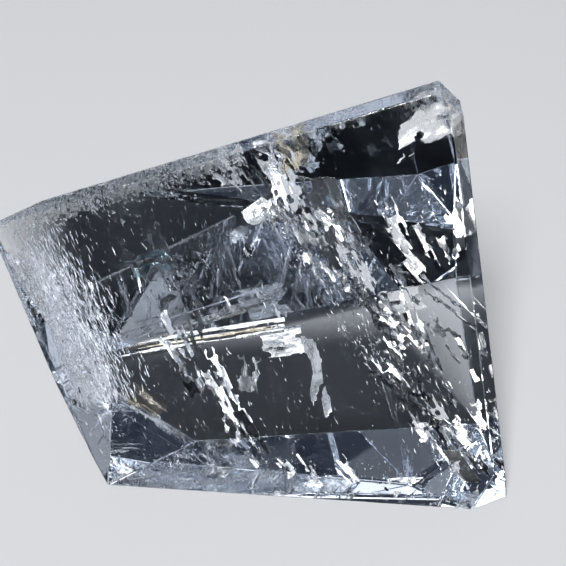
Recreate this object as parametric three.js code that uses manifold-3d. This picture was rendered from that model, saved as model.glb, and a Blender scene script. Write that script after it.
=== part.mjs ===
// A clear rock crystal, ground and polished into a leaning free-form block with flat facets.
// Millimetres, +Z up. The block stands on its flat base, and its large front face looks along -Y.
// It is one stone, so it is one solid: a rough block from which every facet is cut away in turn,
// and then a few small shell-shaped chips along the edges.
import * as THREE from "three";
import { mergeVertices } from "three/addons/utils/BufferGeometryUtils.js";
import Module from "manifold-3d";

// The rough block, wide enough for every facet to cut it. Its floor is the base facet.
const ROUGH_WIDTH = 120;
const ROUGH_DEPTH = 100;
const ROUGH_HEIGHT = 80;

// Each facet as a cutter sets it: the way it faces round the stone (0 is the front, 90 the right
// side, 180 the back), how far it tilts up from upright, both in degrees, and its distance in
// millimetres from the setting point in the middle of the base.
const FACETS = {
  front: { turn: 0, tilt: 10, distance: 13.8 },
  top: { turn: -144, tilt: 57.5, distance: 43 },
  right: { turn: 98, tilt: 9, distance: 26.2 },
  left: { turn: -92, tilt: -20, distance: 27.5 },
  leftFoot: { turn: -99, tilt: -27, distance: 22.6 },
  backTop: { turn: -163.5, tilt: 35, distance: 28.7 },
  backMiddle: { turn: -157.5, tilt: 15, distance: 19.1 },
  backFoot: { turn: -164, tilt: -29, distance: 6.1 },
  topBevel: { turn: -38.5, tilt: 63, distance: 47.8 },
  rightBevel: { turn: 51, tilt: 14.5, distance: 29 },
  leftBevel: { turn: -34, tilt: -3.5, distance: 27.4 },
  frontPeakCorner: { turn: 78.5, tilt: 39, distance: 48.3 },
  backPeakCorner: { turn: 150, tilt: 40, distance: 41.7 },
  rightFootCorner: { turn: 33, tilt: -7, distance: 24.3 },
  leftFootCorner: { turn: -124.5, tilt: -54.5, distance: 8.8 },
};

// Chips lie on the edge between two facets, at a place along X from the setting point. Each is a
// shallow scoop with its own radius, and bites a little way into the edge.
const CHIPS = [
  { between: ["top", "topBevel"], along: -32, radius: 1.6, bite: 0.3 },
  { between: ["top", "topBevel"], along: -27.5, radius: 2.4, bite: 0.35 },
  { between: ["top", "topBevel"], along: -21, radius: 1.4, bite: 0.25 },
  { between: ["top", "topBevel"], along: -15.5, radius: 2, bite: 0.4 },
  { between: ["top", "topBevel"], along: -11, radius: 1.3, bite: 0.3 },
  { between: ["top", "topBevel"], along: -3, radius: 2.2, bite: 0.3 },
  { between: ["top", "backTop"], along: -8, radius: 1.8, bite: 0.35 },
  { between: ["top", "backTop"], along: 6, radius: 2.6, bite: 0.4 },
  { between: ["front", "topBevel"], along: -24, radius: 1.5, bite: 0.2 },
  { between: ["right", "backMiddle"], along: 19.7, radius: 2.4, bite: 0.4 },
  { between: ["backFoot", "backMiddle"], along: 4, radius: 2.8, bite: 0.3 },
];
const CHIP_DETAIL = 3;

const CLEAR_QUARTZ = { color: 0xeef2f5, roughness: 0.03, metalness: 0 };

const wasm = await Module();
wasm.setup();

// A closed three.js geometry as a solid that can be cut.
function solidFrom(geometry) {
  geometry.deleteAttribute("normal");
  geometry.deleteAttribute("uv");
  const merged = mergeVertices(geometry, 1e-4);
  return new wasm.Manifold(
    new wasm.Mesh({
      numProp: 3,
      vertProperties: merged.attributes.position.array,
      triVerts: new Uint32Array(merged.index.array),
    }),
  );
}

// A cut solid as a flat-shaded three.js geometry.
function geometryFrom(solid) {
  const { numVert, numProp, vertProperties, triVerts } = solid.getMesh();
  const positions = new Float32Array(numVert * 3);
  for (let i = 0; i < numVert; i++) {
    positions.set(vertProperties.subarray(i * numProp, i * numProp + 3), i * 3);
  }
  const geometry = new THREE.BufferGeometry();
  geometry.setAttribute("position", new THREE.BufferAttribute(positions, 3));
  geometry.setIndex(new THREE.BufferAttribute(triVerts, 1));
  return geometry;
}

// The outward direction of a facet.
function facing({ turn, tilt }) {
  const around = THREE.MathUtils.degToRad(turn);
  const up = THREE.MathUtils.degToRad(tilt);
  return new THREE.Vector3(
    Math.cos(up) * Math.sin(around),
    -Math.cos(up) * Math.cos(around),
    Math.sin(up),
  );
}

// The point at a given X on the line where two facets meet.
function edgePoint(one, other, x) {
  const a = facing(one);
  const b = facing(other);
  const restA = one.distance - a.x * x;
  const restB = other.distance - b.x * x;
  const determinant = a.y * b.z - a.z * b.y;
  const y = (restA * b.z - a.z * restB) / determinant;
  const z = (a.y * restB - restA * b.y) / determinant;
  return new THREE.Vector3(x, y, z);
}

// The rough block, standing on the setting point.
function roughBlock() {
  const block = new THREE.BoxGeometry(ROUGH_WIDTH, ROUGH_DEPTH, ROUGH_HEIGHT);
  block.translate(0, 0, ROUGH_HEIGHT / 2);
  return solidFrom(block);
}

// Grinds one facet: all that lies beyond its plane goes.
function cutFacet(stone, facet) {
  const inward = facing(facet).negate();
  return stone.trimByPlane(inward.toArray(), -facet.distance);
}

// Knocks one chip out of an edge with a round scoop that stands mostly clear of it.
function cutChip(stone, { between, along, radius, bite }) {
  const [one, other] = between.map((name) => FACETS[name]);
  const outward = facing(one).add(facing(other)).normalize();
  const centre = edgePoint(one, other, along).addScaledVector(outward, radius - bite);
  const scoop = new THREE.IcosahedronGeometry(radius, CHIP_DETAIL);
  scoop.translate(...centre.toArray());
  return stone.subtract(solidFrom(scoop));
}

// The finished stone, moved so that the origin is under the middle of its bounding box.
function quartzCrystal() {
  let stone = roughBlock();
  for (const facet of Object.values(FACETS)) {
    stone = cutFacet(stone, facet);
  }
  for (const chip of CHIPS) {
    stone = cutChip(stone, chip);
  }
  const geometry = geometryFrom(stone);
  geometry.computeBoundingBox();
  const middle = geometry.boundingBox.getCenter(new THREE.Vector3());
  geometry.translate(-middle.x, -middle.y, -geometry.boundingBox.min.z);
  geometry.computeVertexNormals();
  const material = new THREE.MeshStandardMaterial({ ...CLEAR_QUARTZ, flatShading: true });
  const mesh = new THREE.Mesh(geometry, material);
  mesh.name = "quartz_crystal";
  return mesh;
}

const part = new THREE.Group();
part.add(quartzCrystal());
export default part;
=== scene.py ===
"""A clear, faceted rock crystal with inner fractures, flakes and frosted edges, on a pale floor.

Lengths are written in millimetres and turned into metres by MM where they meet Blender.
"""

import math
import random

import bpy
import numpy as np
from mathutils import Matrix, Vector, noise


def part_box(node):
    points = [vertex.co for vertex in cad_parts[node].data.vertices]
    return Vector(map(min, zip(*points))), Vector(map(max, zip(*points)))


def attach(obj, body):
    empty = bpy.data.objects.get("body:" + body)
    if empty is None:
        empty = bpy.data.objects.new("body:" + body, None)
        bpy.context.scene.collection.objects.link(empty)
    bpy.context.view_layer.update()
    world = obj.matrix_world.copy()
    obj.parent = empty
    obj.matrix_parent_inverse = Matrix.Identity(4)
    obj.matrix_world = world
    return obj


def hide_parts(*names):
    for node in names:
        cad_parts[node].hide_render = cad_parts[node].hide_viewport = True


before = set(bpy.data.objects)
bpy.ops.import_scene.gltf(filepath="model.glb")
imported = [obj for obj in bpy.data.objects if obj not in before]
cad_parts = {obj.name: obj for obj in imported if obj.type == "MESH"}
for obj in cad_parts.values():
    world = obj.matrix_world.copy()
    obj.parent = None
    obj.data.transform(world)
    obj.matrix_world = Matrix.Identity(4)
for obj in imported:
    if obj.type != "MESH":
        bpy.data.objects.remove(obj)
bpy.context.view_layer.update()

MM = 0.001
NODE = "quartz_crystal"
QUARTZ_IOR = 1.544

# The facets as the solid has them: the way each faces round the stone, its tilt up from upright, in
# degrees, and its distance from the setting point in the middle of the base.
FACETS = {
    "front": (0, 10, 13.8),
    "top": (-144, 57.5, 43),
    "right": (98, 9, 26.2),
    "left": (-92, -20, 27.5),
    "left_foot": (-99, -27, 22.6),
    "back_top": (-163.5, 35, 28.7),
    "back_middle": (-157.5, 15, 19.1),
    "back_foot": (-164, -29, 6.1),
    "top_bevel": (-38.5, 63, 47.8),
    "right_bevel": (51, 14.5, 29),
    "left_bevel": (-34, -3.5, 27.4),
    "front_peak_corner": (78.5, 39, 48.3),
    "back_peak_corner": (150, 40, 41.7),
    "right_foot_corner": (33, -7, 24.3),
    "left_foot_corner": (-124.5, -54.5, 8.8),
}
ROUGH_SIZE = 120
EDGE_ROUND = 0.16
ROUND_RIDGES = [("back_middle", "back_foot", 1.1), ("back_middle", "back_top", 1.0)]

# The edge chips: the two facets that meet there, the place along X from the setting point, the
# radius of the scoop and how far it bites in.
CHIPS = [
    ("top", "top_bevel", -32, 1.6, 0.3),
    ("top", "top_bevel", -27.5, 2.4, 0.35),
    ("top", "top_bevel", -21, 1.4, 0.25),
    ("top", "top_bevel", -15.5, 2, 0.4),
    ("top", "top_bevel", -11, 1.3, 0.3),
    ("top", "top_bevel", -3, 2.2, 0.3),
    ("top", "back_top", -8, 1.8, 0.35),
    ("top", "back_top", 6, 2.6, 0.4),
    ("front", "top_bevel", -24, 1.5, 0.2),
    ("right", "back_middle", 19.7, 2.4, 0.4),
    ("back_foot", "back_middle", 4, 2.8, 0.3),
]

# The camera: its place from the origin, its turn to the left and tilt down in degrees, and the
# length of its lens in pixels of the square picture.
CAMERA_PLACE = (17.9, -151.2, 111.3)
CAMERA_TURN = 5.84
CAMERA_TILT = 30
PICTURE_SIDE = 566
LENS_PIXELS = 1217
SENSOR = 36

# A crack gapes by CRACK_GAP, its sheet is a grid of CELL, and it keeps SKIN inside the faces.
CRACK_GAP = 0.03
CELL = 0.25
SKIN = 0.4

# Fractures lie where the picture shows them: a pixel, and a depth in mm behind the front face, or
# before the back of the stone where it is negative. The slant is how steeply a mark falls to the
# right in the picture. Each sheet leans by its dip towards a light, an angle up from the right of
# the picture, and so mirrors what is there: a bright card, the lit floor or the floor in shade.
LIGHT = 25
DIP = 60
GREY = 0
GREY_DIP = 52
DARK = -90
DARK_DIP = 42

# Grains: how long and how wide the open patches of a sheet are, with finer patches in them. A
# sheet also swells in long and short waves, a smooth one least, and closes towards its rim.
SMOOTH = (6.0, 3.0)
BROKEN = (4.5, 1.5)
RAGGED = (3.2, 0.7)
FINER = 2.7
FINER_SHARE = 0.6
SMOOTH_WAVE = 0.1
ROUGH_WAVE = 0.3
LONG_SWELL = (5, 2)
SHORT_SWELL = (1.5, 0.6)
SHORT_SHARE = 0.2
RIM_CLOSING = 0.8

# Single fractures: place, slant, length and width in the picture, open share, light, dip, grain.
# The mirrors are clear and the frosted ones dull. The veils are stained, and seen through.
MIRRORS = [
    ((270, 203, 6), -40, 9.5, 3.8, 0.6, LIGHT, DIP, BROKEN),
    ((325, 208, 5), 75, 17.0, 5.0, 0.7, DARK, DARK_DIP, BROKEN),
    ((457, 220, 5), 60, 5.0, 3.0, 0.75, LIGHT, DIP, BROKEN),
    ((333, 489, 4), 2, 9.0, 2.4, 0.6, LIGHT, DIP, BROKEN),
    ((408, 487, 4), -10, 6.5, 3.8, 0.6, LIGHT, DIP, BROKEN),
    ((463, 468, 4), 53, 9.0, 2.0, 0.95, DARK, DARK_DIP, SMOOTH),
    ((455, 471, 4), 53, 9.0, 0.5, 0.95, LIGHT, DIP, SMOOTH),
    ((85, 372, 2), 67, 19.0, 2.2, 0.75, DARK, DARK_DIP, BROKEN),
    ((460, 345, 8), 65, 2.6, 1.0, 0.8, LIGHT, DIP, SMOOTH),
    ((475, 376, 8), 65, 2.4, 0.9, 0.8, LIGHT, DIP, SMOOTH),
    ((421, 343, 8), 20, 2.5, 0.8, 0.8, LIGHT, DIP, SMOOTH),
    ((148, 405, 9), 35, 7.0, 3.4, 0.45, 10, GREY_DIP, RAGGED),
    ((295, 150, 6), 70, 7.0, 4.0, 0.5, LIGHT, 55, RAGGED),
]
FROSTED = [
    ((200, 332, -1.8), -12.2, 25.5, 0.8, 0.9, 95, 68, SMOOTH),
    ((200, 338, -1.8), -12.2, 25.5, 0.5, 0.9, 95, 68, SMOOTH),
    ((200, 343, -1.8), -12.2, 25.5, 0.7, 0.9, 95, 68, SMOOTH),
    ((284, 339, -3), -10, 8.0, 5.4, 0.85, 90, 68, SMOOTH),
    ((318, 378, 9), 80, 13.0, 3.0, 0.6, GREY, GREY_DIP, BROKEN),
    ((420, 129, 4), -33, 9.5, 5.0, 0.8, GREY, GREY_DIP, BROKEN),
    ((405, 300, 8), -15, 6.5, 4.2, 0.65, GREY, GREY_DIP, BROKEN),
    ((438, 112, 3), -20, 5.0, 3.0, 0.6, GREY, GREY_DIP, RAGGED),
    ((22, 270, 3), 66, 15.0, 2.6, 0.7, LIGHT, 64, RAGGED),
    ((40, 265, 5), 67, 14.0, 3.0, 0.6, LIGHT, 64, RAGGED),
    ((60, 330, 4), 67, 16.0, 2.2, 0.6, LIGHT, DIP, RAGGED),
    ((100, 375, 6), 72, 11.0, 2.6, 0.5, LIGHT, 58, RAGGED),
    ((215, 172, 2.5), 30, 9.0, 3.0, 0.45, LIGHT, DIP, RAGGED),
]
TAN_VEILS = [
    ((200, 338, -4), -12.2, 24.0, 0.8, 0.85, LIGHT, 12, SMOOTH),
    ((148, 405, 6), 35, 7.0, 4.0, 0.7, LIGHT, 14, RAGGED),
    ((295, 150, 3), 70, 6.0, 5.0, 0.7, LIGHT, 14, RAGGED),
]
TEAL_VEILS = [
    ((150, 262, 4), -20, 8.0, 4.0, 0.5, LIGHT, 14, RAGGED),
]

# Fields of small ragged fractures along a line in the picture: both ends, how far they stray, how
# many, their depths, slant, the share that is bright, and the spans of their lengths and widths.
FIELDS = [
    ((255, 150), (330, 250), 16, 12, (3, 9), 62, 0.6, (6, 13), (1.8, 4.0)),
    ((330, 240), (395, 330), 16, 13, (4, 11), 58, 0.55, (6, 13), (1.8, 4.0)),
    ((390, 320), (445, 430), 16, 13, (4, 11), 54, 0.5, (6, 12), (1.6, 3.6)),
    ((440, 420), (485, 480), 12, 7, (3, 8), 50, 0.5, (4, 8), (1.2, 2.6)),
    ((195, 335), (250, 435), 11, 9, (5, 11), 66, 0.8, (6, 12), (2.2, 4.4)),
    ((165, 325), (195, 395), 7, 5, (5, 11), 66, 0.7, (5, 10), (1.4, 2.8)),
    ((385, 222), (428, 262), 10, 6, (4, 9), 56, 0.75, (5, 9), (1.6, 3.0)),
    ((415, 272), (478, 322), 6, 6, (4, 9), 41, 0.8, (5, 10), (0.6, 1.4)),
    ((68, 320), (103, 430), 4, 6, (1, 2), 68, 0.8, (3, 7), (0.6, 1.2)),
    ((260, 455), (300, 478), 9, 5, (3, 8), 45, 0.8, (3, 6), (1.0, 2.2)),
    ((300, 470), (430, 488), 9, 8, (3, 8), 50, 0.7, (3, 6), (1.0, 2.2)),
    ((120, 250), (300, 300), 40, 12, (6, 16), 66, 0.5, (2, 5), (0.4, 1.0)),
]

# The fractures of a field stray in slant, light and dip, lie a little flatter than a single one,
# and spread less down the picture than across it.
FIELD_OPEN = 0.5
FIELD_SLANT_STRAY = 7
FIELD_LIGHT_STRAY = 12
FIELD_DIP_STRAY = 5
FIELD_FLATTER = 2
FIELD_DOWN = 0.6

# Clouds of tiny flakes: how many, a corner pixel and the two sides of their patch, depths, widths,
# how much longer than wide, slant and how far it strays, light, dip and how far it strays.
FROST_CLOUDS = [
    (5000, (3, 214), (74, 190), (50, -6), (0.6, 8), (0.14, 0.4), 6.0, 67, 7, LIGHT, 64, 4),
    (3600, (6, 211), (232, -70), (9, 22), (0.4, 4), (0.12, 0.38), 2.0, 60, 30, 38, 57, 6),
]
BRIGHT_CLOUDS = [
    (1100, (205, 155), (240, 320), (90, -20), (3, 12), (0.12, 0.4), 3.0, 60, 16, LIGHT, 55, 30),
    (1000, (60, 200), (60, 290), (370, -20), (2, 16), (0.1, 0.3), 4.0, 66, 10, LIGHT, 55, 30),
    (900, (110, 452), (360, 15), (0, 60), (2, 10), (0.08, 0.22), 2.0, 60, 30, LIGHT, 55, 30),
]

# A cloud fades out across its patch. Each flake has a few uneven corners, and is left out where it
# stands edge on to the camera or comes close to the faces.
CLOUD_FADE = 0.5
FLAKE_CORNERS = 4
FLAKE_LENGTH = (0.6, 1.4)
FLAKE_LIGHT_STRAY = 8
FLAKE_SKIN = 0.2
CORNER_TURN = 0.4
CORNER_REACH = (0.7, 1.1)
EDGE_ON = 0.15

# The polish and the frost of the outside. Frost lies in a band along the left of the top edge, in
# a narrower one along all of it, and round the highest corner: spans in mm from bare to full, and
# where the left band ends along X. It comes in patches of fine speckle, with pits.
POLISH = 0.015
FROST_ROUGHNESS = 0.5
LEFT_BAND = (-3.2, -0.4)
LEFT_BAND_END = (-8, 6)
EDGE_BAND = (-1.2, -0.1)
EDGE_BAND_SHARE = 0.7
PEAK_PATCH = (3, 11)
PATCH_SCALE = 170
PATCH_SPAN = (0.36, 0.56)
SPECKLE_SCALE = 1800
SPECKLE_SPAN = (0.3, 0.65)
PIT_STRENGTH = 0.4
PIT_DEPTH = 0.15

# The quartz takes a little red out of the light. The crack walls have fine ripples.
ABSORPTION_COLOUR = (0.74, 0.82, 0.93, 1)
ABSORPTION_DENSITY = 16
RIPPLE_SCALE = 900
RIPPLE_SPAN = (0.4, 0.75)
RIPPLE_STRENGTH = 0.3
RIPPLE_DEPTH = 0.2

# The floor, with its side in metres, and the dim room.
FLOOR_SIZE = 30
FLOOR_GAP = 0.05
FLOOR_COLOUR = (0.62, 0.63, 0.65, 1)
FLOOR_ROUGHNESS = 0.9
ROOM_COLOUR = (0.024, 0.03, 0.042, 1)

# The lights: the turn from the front to the right and the rise, in degrees, the reach from the
# stone and the side of the light in metres, and the power. The cards light the stone alone.
AIM_HEIGHT = 25
KEY = ("key_softbox", -5, 39, 4, 1.17, 275)
CARDS = [
    ("right_card", 112, 12, 0.45, 0.28, 0.62),
    ("right_glow", 100, 16, 0.6, 0.5, 0.25),
    ("top_card", 165, 70, 0.5, 0.32, 0.6),
    ("back_left_card", -152, 21, 0.42, 0.16, 0.16),
    ("front_left_card", -38, 5, 0.6, 0.3, 0.034),
    ("corner_card", -15, 37, 0.6, 0.07, 0.03),
    ("bottom_card", -69, 40, 0.6, 0.16, 0.13),
    ("back_card", 178, 14, 0.5, 0.2, 0.25),
]
LIGHT_BOUNCES = 24
MIRROR_BOUNCES = 12


def metres(span):
    """Both ends of a span, from millimetres."""
    return [end * MM for end in span]


def facing(turn, tilt):
    """The outward direction of a facet."""
    around = math.radians(turn)
    up = math.radians(tilt)
    across = math.cos(up)
    return Vector((across * math.sin(around), -across * math.cos(around), math.sin(up)))


def setting_point():
    """Where the facets' distances start: the middle of the base, found from the solid's own box."""
    low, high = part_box(NODE)
    corners = facet_corners()
    lowest = Vector(min(c[i] for c in corners) for i in range(3))
    highest = Vector(max(c[i] for c in corners) for i in range(3))
    middle = (lowest + highest) / 2
    return Vector(((low.x + high.x) / 2 - middle.x, (low.y + high.y) / 2 - middle.y, 0))


def facet_corners():
    """The stone's corners about the setting point, in metres."""
    planes = [(facing(turn, tilt), away * MM) for turn, tilt, away in FACETS.values()]
    planes.append((Vector((0, 0, -1)), 0.0))
    corners = []
    count = len(planes)
    for i in range(count):
        for j in range(i + 1, count):
            for k in range(j + 1, count):
                rows = Matrix([planes[n][0] for n in (i, j, k)])
                if abs(rows.determinant()) < 1e-6:
                    continue
                corner = rows.inverted() @ Vector([planes[n][1] for n in (i, j, k)])
                if all(way.dot(corner) <= away + 1e-7 for way, away in planes):
                    corners.append(corner)
    return corners


SET = setting_point()
PLANES = {name: (facing(turn, tilt), away * MM) for name, (turn, tilt, away) in FACETS.items()}
PLANES["base"] = (Vector((0, 0, -1)), 0.0)
FRONT = PLANES["front"][0]
FACE_ACROSS = Vector((1, 0, 0))
FACE_UP = FRONT.cross(FACE_ACROSS)
FACE_IN = FRONT * -1


def beyond(points):
    """How far each point is outside the stone, in metres: negative inside."""
    ways = np.array([way for way, away in PLANES.values()])
    aways = np.array([away for way, away in PLANES.values()])
    return ((points - np.array(SET)) @ ways.T - aways).max(axis=1)


def line_of_sight(u, v):
    """Where a pixel's ray meets the front face, and the way it goes on inside the stone."""
    turn = Matrix.Rotation(math.radians(CAMERA_TURN), 3, "Z")
    tilt = math.radians(CAMERA_TILT)
    ahead = turn @ Vector((0, math.cos(tilt), -math.sin(tilt)))
    up = turn @ Vector((0, math.sin(tilt), math.cos(tilt)))
    across = turn @ Vector((1, 0, 0))
    middle = PICTURE_SIDE / 2
    ray = ahead + across * ((u - middle) / LENS_PIXELS) - up * ((v - middle) / LENS_PIXELS)
    ray.normalize()
    start = Vector(CAMERA_PLACE) * MM
    away = PLANES["front"][1] + FRONT.dot(SET)
    reach = (away - FRONT.dot(start)) / FRONT.dot(ray)
    bend = 1 / QUARTZ_IOR
    cosine = -FRONT.dot(ray)
    inner = math.sqrt(1 - bend * bend * (1 - cosine * cosine))
    return start + ray * reach, ray * bend + FRONT * (bend * cosine - inner)


def seen_at(u, v, depth):
    """The point that shows at a pixel, a depth behind the front face or before the back."""
    surface, sight = line_of_sight(u, v)
    reach = depth * MM / sight.dot(FACE_IN)
    if depth < 0:
        local = surface - SET
        planes = [plane for plane in PLANES.values() if plane[0].dot(sight) > 0.01]
        reach += min((away - way.dot(local)) / way.dot(sight) for way, away in planes)
    return surface + sight * reach


def picture_ways(slant):
    """Two directions in the front face: the long way of a slanted mark, and the way beside it."""
    steep = math.radians(slant)
    along = FACE_ACROSS * math.cos(steep) - FACE_UP * math.sin(steep)
    beside = FACE_ACROSS * math.sin(steep) + FACE_UP * math.cos(steep)
    return along, beside


def mirror_way(light, dip):
    """The normal of a sheet that leans by its dip towards a light at the side of the picture."""
    level, towards = picture_ways(90 - light)
    leaning = math.radians(dip)
    return level.cross(towards * math.cos(leaning) + FACE_IN * math.sin(leaning))


def slide(way, sight, normal):
    """Moves a direction along the line of sight until it lies in the sheet with this normal."""
    return way - sight * (way.dot(normal) / sight.dot(normal))


def only(piece):
    """Makes a piece the one selected and active object."""
    bpy.ops.object.select_all(action="DESELECT")
    piece.select_set(True)
    bpy.context.view_layer.objects.active = piece


def apply_modifier(piece, kind, **settings):
    """Adds a modifier with these settings and applies it."""
    only(piece)
    modifier = piece.modifiers.new(kind.lower(), kind)
    for name, value in settings.items():
        setattr(modifier, name, value)
    bpy.ops.object.modifier_apply(modifier=modifier.name)


def edge_point(one, other, x):
    """The point at X = x, in mm from the setting point, on the line where two facets meet."""
    (a, away_a), (b, away_b) = PLANES[one], PLANES[other]
    along = x * MM
    rest_a = away_a - a.x * along
    rest_b = away_b - b.x * along
    determinant = a.y * b.z - a.z * b.y
    y = (rest_a * b.z - a.z * rest_b) / determinant
    z = (a.y * rest_b - rest_a * b.y) / determinant
    return Vector((along, y, z))


def cut_stone():
    """The outer faces: a rough block bisected along every facet, with softened edges and chips."""
    bpy.ops.object.select_all(action="DESELECT")
    half = ROUGH_SIZE * MM / 2
    bpy.ops.mesh.primitive_cube_add(size=2 * half, location=SET + Vector((0, 0, half)))
    stone = bpy.context.object
    stone.name = "crystal"
    bpy.ops.object.transform_apply(location=True, rotation=True, scale=True)
    bpy.ops.object.mode_set(mode="EDIT")
    for name in FACETS:
        way, away = PLANES[name]
        bpy.ops.mesh.select_all(action="SELECT")
        bpy.ops.mesh.bisect(
            plane_co=SET + way * away, plane_no=way, use_fill=True, clear_outer=True
        )
    bpy.ops.mesh.select_all(action="SELECT")
    bpy.ops.mesh.remove_doubles(threshold=0.02 * MM)
    bpy.ops.mesh.normals_make_consistent(inside=False)
    bpy.ops.object.mode_set(mode="OBJECT")
    for one, other, radius in ROUND_RIDGES:
        round_ridge(stone, one, other, radius)
    apply_modifier(
        stone, "BEVEL", width=EDGE_ROUND * MM, segments=2, limit_method="ANGLE",
        angle_limit=math.radians(12), use_clamp_overlap=True,
    )
    for one, other, along, radius, bite in CHIPS:
        knock_chip(stone, one, other, along, radius, bite)
    return stone


def round_ridge(stone, one, other, radius):
    """Rounds the long edge where two facets meet, as if rubbed over by hand."""
    only(stone)
    mesh = stone.data
    bpy.ops.object.mode_set(mode="EDIT")
    bpy.ops.mesh.select_mode(type="EDGE")
    bpy.ops.mesh.select_all(action="DESELECT")
    bpy.ops.object.mode_set(mode="OBJECT")
    pair = [PLANES[one], PLANES[other]]
    for edge in mesh.edges:
        ends = [mesh.vertices[index].co - SET for index in edge.vertices]
        edge.select = all(abs(way.dot(end) - away) < 0.01 * MM for way, away in pair for end in ends)
    bpy.ops.object.mode_set(mode="EDIT")
    bpy.ops.mesh.bevel(offset=radius * MM, segments=8, affect="EDGES")
    bpy.ops.object.mode_set(mode="OBJECT")


def knock_chip(stone, one, other, along, radius, bite):
    """Takes one shell-shaped chip out of an edge."""
    outward = (PLANES[one][0] + PLANES[other][0]).normalized()
    centre = SET + edge_point(one, other, along) + outward * (radius - bite) * MM
    bpy.ops.object.select_all(action="DESELECT")
    bpy.ops.mesh.primitive_ico_sphere_add(subdivisions=4, radius=radius * MM, location=centre)
    scoop = bpy.context.object
    apply_modifier(stone, "BOOLEAN", operation="DIFFERENCE", object=scoop, solver="EXACT")
    bpy.data.objects.remove(scoop)


def ripple(s, t, size, layer, spot):
    """Smooth noise with swells of this length and width, between about -1 and 1."""
    return noise.noise(Vector((s / size[0], t / size[1], layer)) + spot)


def crack_sheet(at, slant, length, width, open_share, light, dip, grain, seed):
    """A fracture: a thin gap that opens in patches on a wavy sheet inside the stone."""
    sight = line_of_sight(at[0], at[1])[1]
    normal = mirror_way(light, dip)
    along, across = [slide(way, sight, normal) for way in picture_ways(slant)]
    centre = seen_at(*at)
    wave = SMOOTH_WAVE if grain == SMOOTH else ROUGH_WAVE
    columns = max(4, round(length / CELL))
    rows = max(4, round(width / CELL))
    bpy.ops.object.select_all(action="DESELECT")
    bpy.ops.mesh.primitive_grid_add(x_subdivisions=columns, y_subdivisions=rows, size=2)
    sheet = bpy.context.object
    mesh = sheet.data
    places = np.zeros(len(mesh.vertices) * 3, np.float32)
    mesh.vertices.foreach_get("co", places)
    places = places.reshape(-1, 3)
    spot = Vector((seed * 17.3, seed * 5.1, 0))
    moved = np.zeros_like(places)
    opening = np.zeros(len(places))
    for index, (a, b, _) in enumerate(places):
        s = a * length / 2
        t = b * width / 2
        lift = wave * ripple(s, t, LONG_SWELL, 3, spot)
        lift += SHORT_SHARE * wave * ripple(s, t, SHORT_SWELL, 7, spot)
        moved[index] = centre + (along * s + across * t + normal * lift) * MM
        patch = ripple(s, t, grain, 0, spot)
        patch += FINER_SHARE * ripple(s * FINER, t * FINER, grain, 9, spot)
        opening[index] = patch - RIM_CLOSING * max(a * a, b * b) ** 2
    mesh.vertices.foreach_set("co", moved.ravel())
    level = np.quantile(opening, 1 - open_share)
    shut = (opening < level) | (beyond(moved) > -SKIN * MM)
    corners = np.zeros(len(mesh.polygons) * 4, np.int32)
    mesh.polygons.foreach_get("vertices", corners)
    doomed = shut[corners.reshape(-1, 4)].any(axis=1)
    bpy.ops.object.mode_set(mode="EDIT")
    bpy.ops.mesh.select_mode(type="FACE")
    bpy.ops.mesh.select_all(action="DESELECT")
    bpy.ops.object.mode_set(mode="OBJECT")
    mesh.polygons.foreach_set("select", doomed)
    bpy.ops.object.mode_set(mode="EDIT")
    bpy.ops.mesh.delete(type="FACE")
    bpy.ops.mesh.select_mode(type="VERT")
    bpy.ops.mesh.select_all(action="DESELECT")
    bpy.ops.mesh.select_non_manifold()
    bpy.ops.mesh.vertices_smooth(factor=0.5, repeat=2)
    bpy.ops.object.mode_set(mode="OBJECT")
    apply_modifier(sheet, "SOLIDIFY", thickness=CRACK_GAP * MM, offset=0, use_rim=True)
    return sheet


def crack_field(start, end, stray, count, depths, slant, bright, lengths, widths, seed):
    """Small ragged fractures strewn along a line in the picture."""
    draw = random.Random(seed)
    sheets = []
    for number in range(count):
        share = (number + draw.random()) / count
        u = start[0] + (end[0] - start[0]) * share + draw.gauss(0, stray)
        v = start[1] + (end[1] - start[1]) * share + draw.gauss(0, stray * FIELD_DOWN)
        light, dip = (LIGHT, DIP) if draw.random() < bright else (DARK, DARK_DIP)
        sheets.append(crack_sheet(
            (u, v, draw.uniform(*depths)), draw.gauss(slant, FIELD_SLANT_STRAY),
            draw.uniform(*lengths), draw.uniform(*widths), FIELD_OPEN,
            draw.gauss(light, FIELD_LIGHT_STRAY), draw.gauss(dip - FIELD_FLATTER, FIELD_DIP_STRAY),
            RAGGED, seed * 100 + number,
        ))
    return sheets


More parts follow.
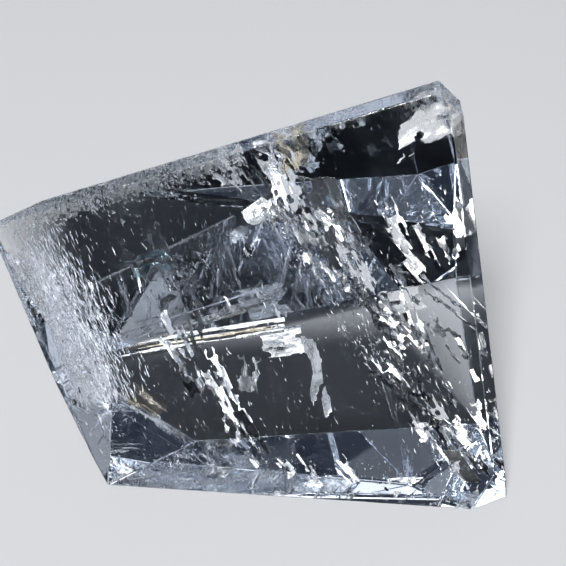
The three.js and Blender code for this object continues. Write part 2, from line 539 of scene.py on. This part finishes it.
def flake_cloud(
    count, corner, side, other, depths, widths, stretch, slant, stray, light, dip, dip_stray, seed
):
    """Many tiny lens-shaped gaps in one mesh, densest along the first side of their patch."""
    draw = random.Random(seed)
    points = []
    faces = []
    for _ in range(count):
        a = draw.random()
        b = abs(draw.gauss(0, CLOUD_FADE))
        u = corner[0] + side[0] * a + other[0] * b
        v = corner[1] + side[1] * a + other[1] * b
        centre = seen_at(u, v, draw.uniform(*depths))
        sight = line_of_sight(u, v)[1]
        normal = mirror_way(draw.gauss(light, FLAKE_LIGHT_STRAY), draw.gauss(dip, dip_stray))
        wide = draw.uniform(*widths) * MM / 2
        long = wide * stretch * draw.uniform(*FLAKE_LENGTH)
        if abs(sight.dot(normal)) < EDGE_ON:
            continue
        if beyond(np.array([centre]))[0] > -(long + FLAKE_SKIN * MM):
            continue
        along = slide(picture_ways(draw.gauss(slant, stray))[0], sight, normal).normalized()
        across = normal.cross(along)
        first = len(points)
        for step in range(FLAKE_CORNERS):
            angle = step * math.tau / FLAKE_CORNERS + draw.uniform(-CORNER_TURN, CORNER_TURN)
            reach = draw.uniform(*CORNER_REACH)
            points.append(
                centre + (along * long * math.cos(angle) + across * wide * math.sin(angle)) * reach
            )
        half = CRACK_GAP * MM / 2
        points.append(centre + normal * half)
        points.append(centre - normal * half)
        crown = first + FLAKE_CORNERS
        for step in range(FLAKE_CORNERS):
            after = (step + 1) % FLAKE_CORNERS
            faces.append((first + step, first + after, crown))
            faces.append((first + after, first + step, crown + 1))
    mesh = bpy.data.meshes.new("flakes")
    mesh.from_pydata(points, [], faces)
    cloud = bpy.data.objects.new("flakes", mesh)
    bpy.context.collection.objects.link(cloud)
    return cloud


def inner_gaps():
    """All the closed gaps inside the stone, as a list of gaps for each material."""
    bright = [crack_sheet(*mark, seed) for seed, mark in enumerate(MIRRORS, 1)]
    for seed, field in enumerate(FIELDS, 1):
        bright += crack_field(*field, seed)
    bright += [flake_cloud(*cloud, seed) for seed, cloud in enumerate(BRIGHT_CLOUDS, 11)]
    frosted = [crack_sheet(*mark, seed) for seed, mark in enumerate(FROSTED, 31)]
    frosted += [flake_cloud(*cloud, seed) for seed, cloud in enumerate(FROST_CLOUDS, 41)]
    tan = [crack_sheet(*mark, seed) for seed, mark in enumerate(TAN_VEILS, 51)]
    teal = [crack_sheet(*mark, seed) for seed, mark in enumerate(TEAL_VEILS, 61)]
    return {
        fracture_skin("fracture_skin", (1, 1, 1, 1), 0.02, 0.25): bright,
        fracture_skin("frosted_skin", (1, 1, 1, 1), 0.12, 0.25): frosted,
        fracture_skin("tan_veil", (0.94, 0.84, 0.66, 1), 0.05, 0.2): tan,
        fracture_skin("teal_veil", (0.6, 0.84, 0.9, 1), 0.05, 0.2): teal,
    }


class Shade:
    """A socket in a material's node tree, used in Python expressions."""

    def __init__(self, tree, socket=None):
        self.tree = tree
        self.socket = socket

    def node(self, kind, settings=None, sockets=None, output=0):
        """Adds a node: first its settings, then its sockets' values or links. Gives one output."""
        made = self.tree.nodes.new(kind)
        for name, value in (settings or {}).items():
            setattr(made, name, value)
        for name, value in (sockets or {}).items():
            if isinstance(value, Shade):
                self.tree.links.new(value.socket, made.inputs[name])
            else:
                made.inputs[name].default_value = value
        return Shade(self.tree, made.outputs[output])

    def math(self, operation, *values):
        """A Math node on this socket and other values."""
        sockets = dict(enumerate((self, *values)))
        return self.node("ShaderNodeMath", {"operation": operation}, sockets)

    def __add__(self, other):
        return self.math("ADD", other)

    def __radd__(self, other):
        return self.math("ADD", other)

    def __mul__(self, other):
        return self.math("MULTIPLY", other)

    def __rmul__(self, other):
        return self.math("MULTIPLY", other)

    def __sub__(self, other):
        return self.math("SUBTRACT", other)

    def __rsub__(self, other):
        sockets = {0: other, 1: self}
        return self.node("ShaderNodeMath", {"operation": "SUBTRACT"}, sockets)

    def ramp(self, low, high):
        """Rises smoothly from 0 at low to 1 at high."""
        settings = {"interpolation_type": "SMOOTHSTEP"}
        return self.node("ShaderNodeMapRange", settings, {"Value": self, 1: low, 2: high})


def glass(name, sockets):
    """A clear material with plain transmission. Gives the material, its shader and its places."""
    material = bpy.data.materials.new(name)
    material.use_nodes = True
    tree = material.node_tree
    shader = tree.nodes["Principled BSDF"]
    shader.inputs["Transmission Weight"].default_value = 1
    shader.inputs["IOR"].default_value = QUARTZ_IOR
    for socket, value in sockets.items():
        shader.inputs[socket].default_value = value
    places = Shade(tree).node("ShaderNodeTexCoord", output="Object")
    return material, shader, places


def clear_quartz():
    """The polished outside: frost along the left of the top edge and round the highest corner."""
    material, shader, places = glass("clear_quartz", {"Base Color": (1, 1, 1, 1)})
    tree = material.node_tree
    way, away = PLANES["top_bevel"]
    near_top = places.node(
        "ShaderNodeVectorMath", {"operation": "DOT_PRODUCT"}, {0: places, 1: way}, "Value"
    ) - (away + way.dot(SET))
    peak = max(facet_corners(), key=lambda corner: corner.z) + SET
    from_peak = places.node(
        "ShaderNodeVectorMath", {"operation": "DISTANCE"}, {0: places, 1: peak}, "Value"
    )
    x = places.node("ShaderNodeSeparateXYZ", None, {0: places}, "X")
    speckle = places.node(
        "ShaderNodeTexNoise", None, {"Vector": places, "Scale": SPECKLE_SCALE, "Detail": 3}
    )
    patches = places.node(
        "ShaderNodeTexNoise", None, {"Vector": places, "Scale": PATCH_SCALE, "Detail": 4}
    )
    left_band = near_top.ramp(*metres(LEFT_BAND)) * (1 - x.ramp(*metres(LEFT_BAND_END)))
    edge_band = near_top.ramp(*metres(EDGE_BAND)) * EDGE_BAND_SHARE
    peak_patch = 1 - from_peak.ramp(*metres(PEAK_PATCH))
    bands = left_band.math("MAXIMUM", edge_band).math("MAXIMUM", peak_patch)
    frost = bands * patches.ramp(*PATCH_SPAN)
    roughness = POLISH + frost * speckle.ramp(*SPECKLE_SPAN) * FROST_ROUGHNESS
    tree.links.new(roughness.socket, shader.inputs["Roughness"])
    pits = places.node(
        "ShaderNodeBump", None,
        {"Strength": PIT_STRENGTH, "Distance": PIT_DEPTH * MM, "Height": frost * speckle},
    )
    tree.links.new(pits.socket, shader.inputs["Normal"])
    absorption = places.node(
        "ShaderNodeVolumeAbsorption", None,
        {"Color": ABSORPTION_COLOUR, "Density": ABSORPTION_DENSITY},
    )
    tree.links.new(absorption.socket, tree.nodes["Material Output"].inputs["Volume"])
    return material


def fracture_skin(name, colour, smooth, rough):
    """The walls of the cracks: bright as a mirror where smooth, with fine ripples."""
    material, shader, places = glass(name, {"Base Color": colour})
    tree = material.node_tree
    ripples = places.node(
        "ShaderNodeTexNoise", None, {"Vector": places, "Scale": RIPPLE_SCALE, "Detail": 4}
    )
    roughness = smooth + ripples.ramp(*RIPPLE_SPAN) * rough
    tree.links.new(roughness.socket, shader.inputs["Roughness"])
    relief = places.node(
        "ShaderNodeBump", None,
        {"Strength": RIPPLE_STRENGTH, "Distance": RIPPLE_DEPTH * MM, "Height": ripples},
    )
    tree.links.new(relief.socket, shader.inputs["Normal"])
    return material


def dress_crystal():
    """Joins the outer faces and the inner gaps into the one stone that stands for the solid."""
    stone = cut_stone()
    stone.data.materials.append(clear_quartz())
    everything = [stone]
    for skin, gaps in inner_gaps().items():
        for gap in gaps:
            gap.data.materials.append(skin)
            only(gap)
            bpy.ops.object.mode_set(mode="EDIT")
            bpy.ops.mesh.select_all(action="SELECT")
            bpy.ops.mesh.normals_make_consistent(inside=True)
            bpy.ops.object.mode_set(mode="OBJECT")
            everything.append(gap)
    bpy.ops.object.select_all(action="DESELECT")
    for piece in everything:
        piece.select_set(True)
    bpy.context.view_layer.objects.active = stone
    bpy.ops.object.join()
    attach(stone, "root")
    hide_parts(NODE)


def pale_floor():
    """The plain floor that the stone stands on."""
    bpy.ops.object.select_all(action="DESELECT")
    bpy.ops.mesh.primitive_plane_add(size=FLOOR_SIZE, location=(0, 0, -FLOOR_GAP * MM))
    floor = bpy.context.object
    floor.name = "floor"
    material = bpy.data.materials.new("pale_floor")
    material.use_nodes = True
    shader = material.node_tree.nodes["Principled BSDF"]
    shader.inputs["Base Color"].default_value = FLOOR_COLOUR
    shader.inputs["Roughness"].default_value = FLOOR_ROUGHNESS
    floor.data.materials.append(material)
    floor.visible_glossy = False


def softbox(name, turn, rise, reach, size, power):
    """A square soft light: its turn from the front to the right and its rise, in degrees."""
    lamp = bpy.data.lights.new(name, "AREA")
    lamp.size = size
    lamp.energy = power
    stand = bpy.data.objects.new(name, lamp)
    bpy.context.collection.objects.link(stand)
    way = facing(turn, rise)
    stand.location = Vector((0, 0, AIM_HEIGHT * MM)) + way * reach
    stand.rotation_euler = (-way).to_track_quat("-Z", "Y").to_euler()
    return stand


def studio():
    """A key light, small cards that only the polished stone shows, a dim surround and the camera."""
    scene = bpy.context.scene
    world = bpy.data.worlds.new("dim_room")
    world.use_nodes = True
    world.node_tree.nodes["Background"].inputs["Color"].default_value = ROOM_COLOUR
    scene.world = world
    softbox(*KEY)
    for card in CARDS:
        softbox(*card).visible_diffuse = False
    camera = bpy.data.cameras.new("camera")
    camera.sensor_width = SENSOR
    camera.lens = LENS_PIXELS / PICTURE_SIDE * SENSOR
    camera.clip_start = 0.01
    stand = bpy.data.objects.new("camera", camera)
    bpy.context.collection.objects.link(stand)
    stand.location = Vector(CAMERA_PLACE) * MM
    stand.rotation_euler = (math.radians(90 - CAMERA_TILT), 0, math.radians(CAMERA_TURN))
    scene.camera = stand
    scene.cycles.caustics_refractive = False
    scene.cycles.caustics_reflective = False
    scene.cycles.max_bounces = LIGHT_BOUNCES
    scene.cycles.transmission_bounces = LIGHT_BOUNCES
    scene.cycles.glossy_bounces = MIRROR_BOUNCES
    scene.cycles.use_denoising = True
    scene.view_settings.view_transform = "Standard"


pale_floor()
dress_crystal()
studio()
